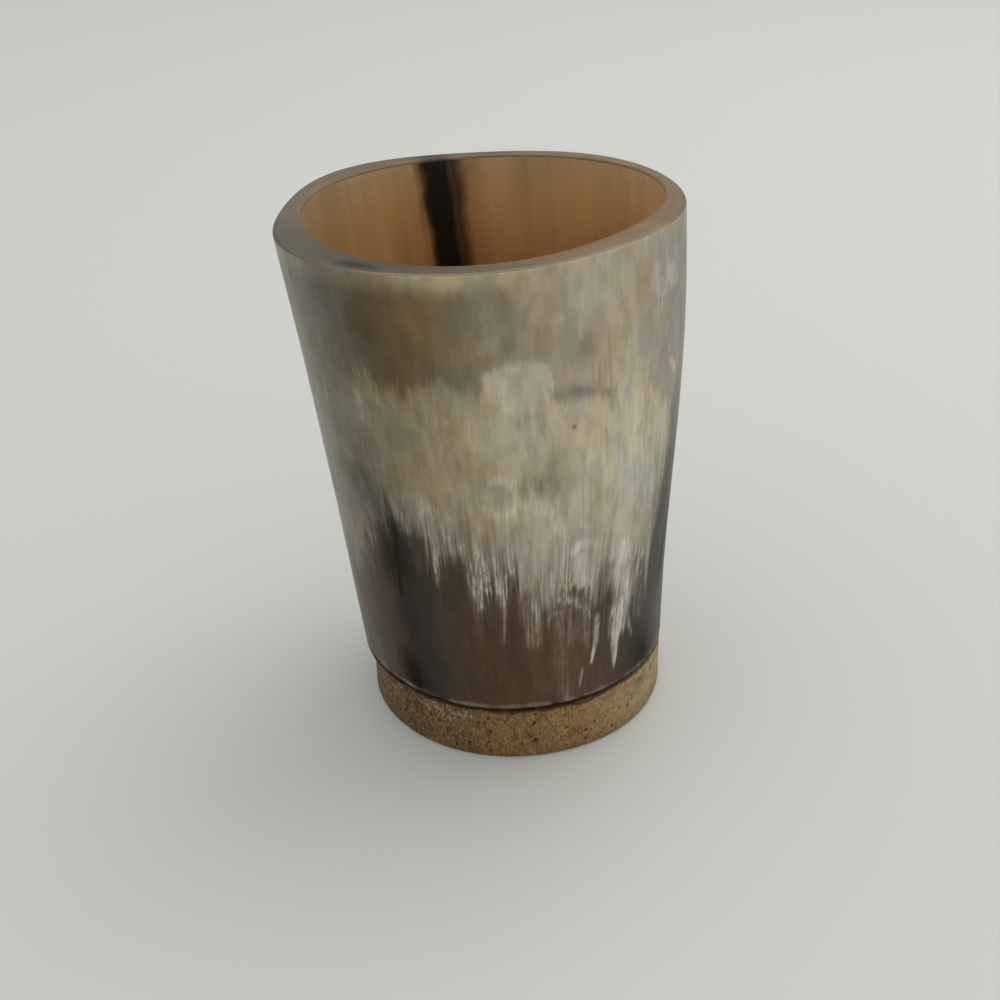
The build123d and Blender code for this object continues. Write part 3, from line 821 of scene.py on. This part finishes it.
def oiled_wood():
    """Coarse porous hardwood, turned and oiled: short dark flecks and open pores where the fibres end at the
    front, longer flat streaks where they run along the sides, in blotches of orange and grey brown."""
    finish, tree = new_finish("oiled_wood")
    where = add(tree, "ShaderNodeTexCoord", out="Object")
    where = add(tree, "ShaderNodeVectorMath", {0: where, "Scale": 1 / MM}, operation="SCALE")
    where = add(tree, "ShaderNodeMapping", {"Vector": where, "Rotation": (0, 0, -np.radians(GRAIN_TURN))})
    # Grains of the wood: size in millimetres across the fibres, along them and up the side
    grain = {}
    for name, size in {"fleck": (0.5, 5.0, 1.1), "crumb": (0.36, 2.0, 0.7), "line": (1.3, 16.0, 1.6),
                       "blotch": (4.5, 9.0, 3.5), "tinge": (7.0, 14.0, 5.0)}.items():
        drawn = add(tree, "ShaderNodeVectorMath", {0: where, 1: tuple(1 / length for length in size)},
                    operation="MULTIPLY")
        grain[name] = add(tree, "ShaderNodeTexNoise", {"Vector": drawn, "Scale": 1.0, "Detail": 2.0},
                          normalize=False)
    field = {name: add(tree, "ShaderNodeAttribute", out="Fac", attribute_name=name)
             for name in ("pits", "dust")}
    place = add(tree, "ShaderNodeSeparateXYZ", {0: where}).node
    across, height = place.outputs[0], place.outputs[2]
    # Darker to the left and lighter to the right: partly the wood's own tone, partly painted shade and
    # painted light
    side = add(tree, "ShaderNodeMapRange", {0: across, 1: -BASE_RADIUS, 2: BASE_RADIUS})
    colour = add(tree, "ShaderNodeValToRGB", {0: side}, stops=(
        (0.0, "5d5340"), (0.18, "54432e"), (0.5, "765b3a"), (0.75, "876a42"), (0.95, "9f8861")))
    colour = laid_over(tree, colour, linear("855f2f"), grain["blotch"], 0.0, 0.6, 0.3)
    colour = laid_over(tree, colour, linear("3a2a1c"), grain["blotch"], -0.1, -0.7, 0.25)
    pale_side = add(tree, "ShaderNodeMapRange", {0: across, 1: 4.0, 2: 24.0, 3: 0.0, 4: 0.3})
    fleck = add(tree, "ShaderNodeMath", {0: grain["fleck"], 1: pale_side}, operation="SUBTRACT")
    colour = laid_over(tree, colour, linear("2e1f11"), fleck, -0.05, 0.5, 0.6)
    colour = laid_over(tree, colour, linear("a3855a"), grain["crumb"], 0.0, 0.7, 0.4)
    uneven = stirred(tree, 1.0, grain, {"crumb": 1.3, "fleck": -0.5})
    dusty = add(tree, "ShaderNodeMath", {0: field["dust"], 1: uneven}, operation="MULTIPLY")
    colour = laid_over(tree, colour, linear("9c9080"), dusty, 0.3, 1.5, 0.55)
    colour = laid_over(tree, colour, linear("211509"), field["pits"], 0.25, 0.75, 0.85)
    # Painted shade: the side darkens towards its foot, for the contact shadow at the floor
    colour = laid_over(tree, colour, linear("5c3f1c"), height, 4.0, 0.5, 0.4)
    # Painted shade along the top of the side, just under the horn's foot and the glue seam
    painted_seam_shade = stirred(tree, height, grain, {"blotch": 0.4})
    colour = laid_over(tree, colour, linear("22160b"), painted_seam_shade, SHOULDER_Z - 0.5, SHOULDER_Z - 0.1, 0.7)
    shade = stirred(tree, 1.0, grain, {"fleck": 0.1, "line": 0.2, "crumb": 0.25, "blotch": 0.1})
    shade = add(tree, "ShaderNodeVectorMath", {0: grain["tinge"], 1: (0.08, 0.0, -0.12), 2: shade},
                operation="MULTIPLY_ADD")
    colour = add(tree, "ShaderNodeVectorMath", {0: colour, 1: shade}, operation="MULTIPLY")
    rough = add(tree, "ShaderNodeMath", {0: grain["fleck"], 1: 0.15, 2: 0.6}, operation="MULTIPLY_ADD")
    ridges = add(tree, "ShaderNodeBump", {"Height": grain["fleck"], "Strength": 0.5, "Distance": 0.12 * MM})
    skin = add(tree, "ShaderNodeBsdfPrincipled", {
        "Base Color": colour, "Roughness": rough, "IOR": 1.45, "Specular IOR Level": 0.25, "Normal": ridges})
    add(tree, "ShaderNodeOutputMaterial", {"Surface": skin})
    return finish


def glue_bead():
    """Closed profile carried round the spigot: a flat ring in the seam, its outer face squeezed out unevenly
    by the product of two waves, and a thin sleeve up to the spigot's top."""
    turn = np.linspace(-180, 180, PLAIN_COLUMNS, endpoint=False)[None, :]
    angle = np.radians(turn)
    squeeze = GLUE_SQUEEZE * (np.sin(7 * angle) * np.sin(3 * angle + 1) - 1)
    edge_in, edge_up = GLUE_EDGE
    radius = np.array([SPIGOT_RADIUS, SEAM_RADIUS - edge_in, SEAM_RADIUS, SEAM_RADIUS, SEAM_RADIUS - edge_in,
                       SOCKET_RADIUS, SOCKET_RADIUS, SPIGOT_RADIUS])[:, None]
    height = np.array([SHOULDER_Z, SHOULDER_Z, SHOULDER_Z + edge_up, FOOT_Z - edge_up, FOOT_Z,
                       FOOT_Z, SPIGOT_TOP_Z, SPIGOT_TOP_Z])[:, None]
    moves = np.array([0, 1, 1, 1, 1, 0, 0, 0])[:, None]
    points = rings(radius + moves * squeeze, turn, height)
    make_piece(
        "squeezed_glue_seam", "glue_seam", points.reshape(-1, 3),
        ring_faces(len(radius), PLAIN_COLUMNS, closed=True).tolist(), (dark_glue(),))


def dark_glue():
    """Set hide glue with dust in it: nearly black in the shade of the seam, with amber patches and a
    soft gloss."""
    finish, tree = new_finish("dark_glue")
    where = add(tree, "ShaderNodeTexCoord", out="Object")
    lumps = add(tree, "ShaderNodeTexNoise", {"Vector": where, "Scale": 1 / (2.5 * MM), "Detail": 3.0})
    colour = add(tree, "ShaderNodeValToRGB", {0: lumps}, stops=(
        (0.35, "20150b"), (0.55, "33220f"), (0.75, "4d3519")))
    skin = add(tree, "ShaderNodeBsdfPrincipled", {"Base Color": colour, "Roughness": 0.5, "IOR": 1.5})
    add(tree, "ShaderNodeOutputMaterial", {"Surface": skin})
    return finish


def poured_floor():
    """Round pool in the bore: a flat underside on the spigot, and a top that rises as the square of the
    distance from the middle, then climbs the wall in a short curl."""
    turn = np.linspace(-180, 180, PLAIN_COLUMNS, endpoint=False)[None, :]
    inwards = 1 - np.linspace(0, 1, COAT_ROWS, endpoint=False) ** 1.6
    share = np.concatenate(([0.97, 1.0], inwards))[:, None]
    on_top = np.concatenate((np.zeros(2), np.ones(COAT_ROWS)))[:, None]
    curl = np.clip((share - CURL_START) / (1 - CURL_START), 0, 1) ** 2
    rise = COAT_DISH * share ** 2 + (1 - COAT_DISH) * curl
    middle_z = SPIGOT_TOP_Z + COAT_DEPTH
    top = between(middle_z, SEAL_TOP_Z - 0.1, rise)
    height = between(SPIGOT_TOP_Z, top, on_top)
    level = (height - FOOT_Z) / HORN_HEIGHT
    wall = horn_radius(level, turn) - wall_thickness(level, turn)
    points = rings(share * wall, turn, height, axis_shift(level))
    rows = len(share)
    last = rows * PLAIN_COLUMNS
    poles = [[axis_shift(level[0, 0]), 0, SPIGOT_TOP_Z], [axis_shift(level[-1, 0]), 0, middle_z]]
    faces = ring_faces(rows, PLAIN_COLUMNS, closed=False).tolist()
    faces += pole_faces(0, PLAIN_COLUMNS, last, on_top=False).tolist()
    faces += pole_faces(last - PLAIN_COLUMNS, PLAIN_COLUMNS, last + 1, on_top=True).tolist()
    make_piece(
        "poured_floor_seal", "floor_seal", np.concatenate((points.reshape(-1, 3), poles)), faces,
        (amber_resin(),))


def amber_resin():
    """Brown casting resin poured over the wood: clear gloss on top, with cloudy amber swirls in it."""
    finish, tree = new_finish("amber_resin")
    where = add(tree, "ShaderNodeTexCoord", out="Object")
    swirl = add(tree, "ShaderNodeTexNoise", {
        "Vector": where, "Scale": 1 / (9 * MM), "Detail": 4.0, "Distortion": 1.2})
    colour = add(tree, "ShaderNodeValToRGB", {0: swirl}, stops=(
        (0.3, "45290f"), (0.5, "68431e"), (0.7, "83592b")))
    skin = add(tree, "ShaderNodeBsdfPrincipled", {
        "Base Color": colour, "Roughness": 0.3, "IOR": 1.45, "Specular IOR Level": 0.35, "Coat Weight": 0.2,
        "Coat Roughness": 0.08})
    add(tree, "ShaderNodeOutputMaterial", {"Surface": skin})
    return finish


def studio():
    """Plain pale floor, an even pale surround, one soft lamp high behind on the right, and the camera."""
    half = FLOOR_REACH * MM
    corners = [(-half, -half, 0), (half, -half, 0), (half, half, 0), (-half, half, 0)]
    sheet = bpy.data.meshes.new("pale_floor")
    sheet.from_pydata(corners, [], [(0, 1, 2, 3)])
    finish, tree = new_finish("matt_paper")
    skin = add(tree, "ShaderNodeBsdfPrincipled", {"Base Color": linear("c9c9c3"), "Roughness": 0.6})
    add(tree, "ShaderNodeOutputMaterial", {"Surface": skin})
    sheet.materials.append(finish)
    floor = bpy.data.objects.new("pale_floor", sheet)
    bpy.context.scene.collection.objects.link(floor)

    surround = bpy.data.worlds.new("pale_surround")
    surround.use_nodes = True
    tree = surround.node_tree
    tree.nodes.clear()
    ambient = add(tree, "ShaderNodeBackground", {"Color": linear("f4f6f5"), "Strength": 0.95})
    backdrop = add(tree, "ShaderNodeBackground", {"Color": linear("d3d4cf"), "Strength": 1.0})
    path = add(tree, "ShaderNodeLightPath").node
    seen = path.outputs["Is Camera Ray"]
    for ray in ("Is Glossy Ray", "Is Transmission Ray"):
        seen = add(tree, "ShaderNodeMath", {0: seen, 1: path.outputs[ray]}, operation="MAXIMUM")
    shown = add(tree, "ShaderNodeMixShader", {0: seen, 1: ambient, 2: backdrop})
    add(tree, "ShaderNodeOutputWorld", {"Surface": shown})
    bpy.context.scene.world = surround

    lamp = bpy.data.lights.new("soft_window", "AREA")
    lamp.size = LAMP_WIDTH * MM
    lamp.energy = LAMP_WATTS
    window = bpy.data.objects.new("soft_window", lamp)
    place = Vector(LAMP_PLACE) * MM
    facing = (Vector(LAMP_AIM) * MM - place).to_track_quat("-Z", "Y")
    window.matrix_world = Matrix.Translation(place) @ facing.to_matrix().to_4x4()
    bpy.context.scene.collection.objects.link(window)

    view = bpy.data.cameras.new("camera")
    view.lens = LENS
    view.sensor_width = SENSOR
    camera = bpy.data.objects.new("camera", view)
    camera.matrix_world = (
        Matrix.Translation(Vector(CAMERA_PLACE) * MM)
        @ Matrix.Rotation(np.radians(CAMERA_TILT), 4, "X")
        @ Matrix.Rotation(np.radians(CAMERA_ROLL), 4, "Z"))
    bpy.context.scene.collection.objects.link(camera)
    bpy.context.scene.camera = camera
    bpy.context.scene.view_settings.view_transform = "Standard"


wooden_base()
glue_bead()
horn_wall()
poured_floor()
studio()
